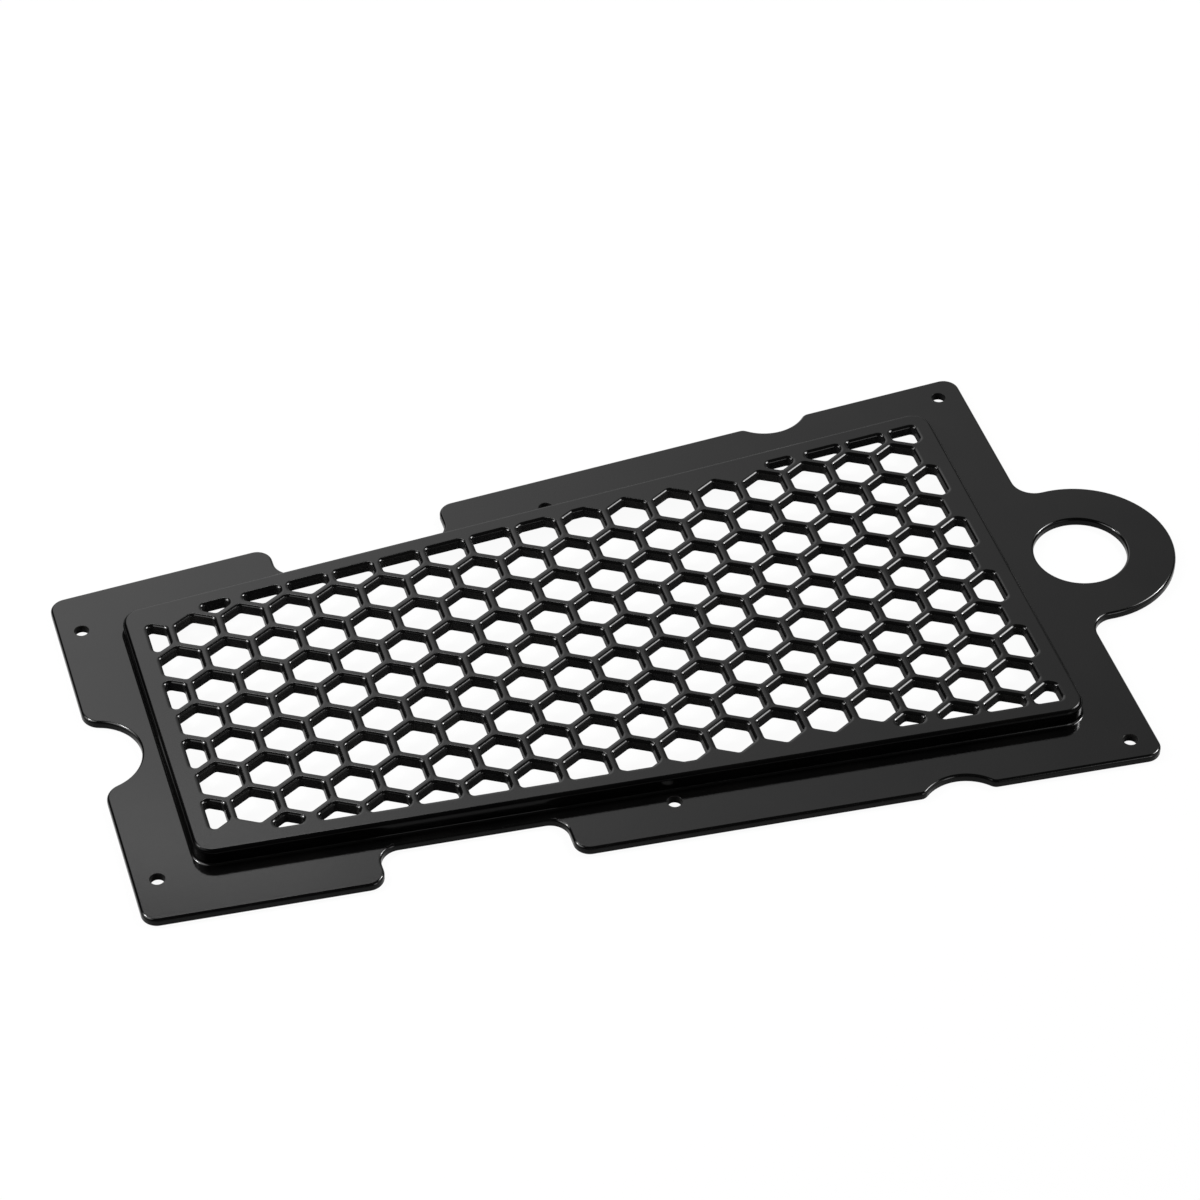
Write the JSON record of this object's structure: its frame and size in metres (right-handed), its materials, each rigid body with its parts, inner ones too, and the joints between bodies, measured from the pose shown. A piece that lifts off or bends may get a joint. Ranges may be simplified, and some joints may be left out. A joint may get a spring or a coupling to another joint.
{
  "type": "motorcycle radiator guard",
  "caption": "Flat tapered guard plate with a raised honeycomb grille panel, a ring tab, notched edges and fixing holes, in gloss black.",
  "frame": {"origin": "below the middle of the overall length and width, on the plane of the back face", "axes": "+X along the axis towards the ring tab, +Y across the plate, +Z out of the front"},
  "size_m": [0.3448, 0.182, 0.0083],
  "materials": {
    "black_coat": "gloss black coat on aluminium"
  },
  "bodies": {
    "root": {"radiator_guard": "black_coat"}
  },
  "joints": []
}
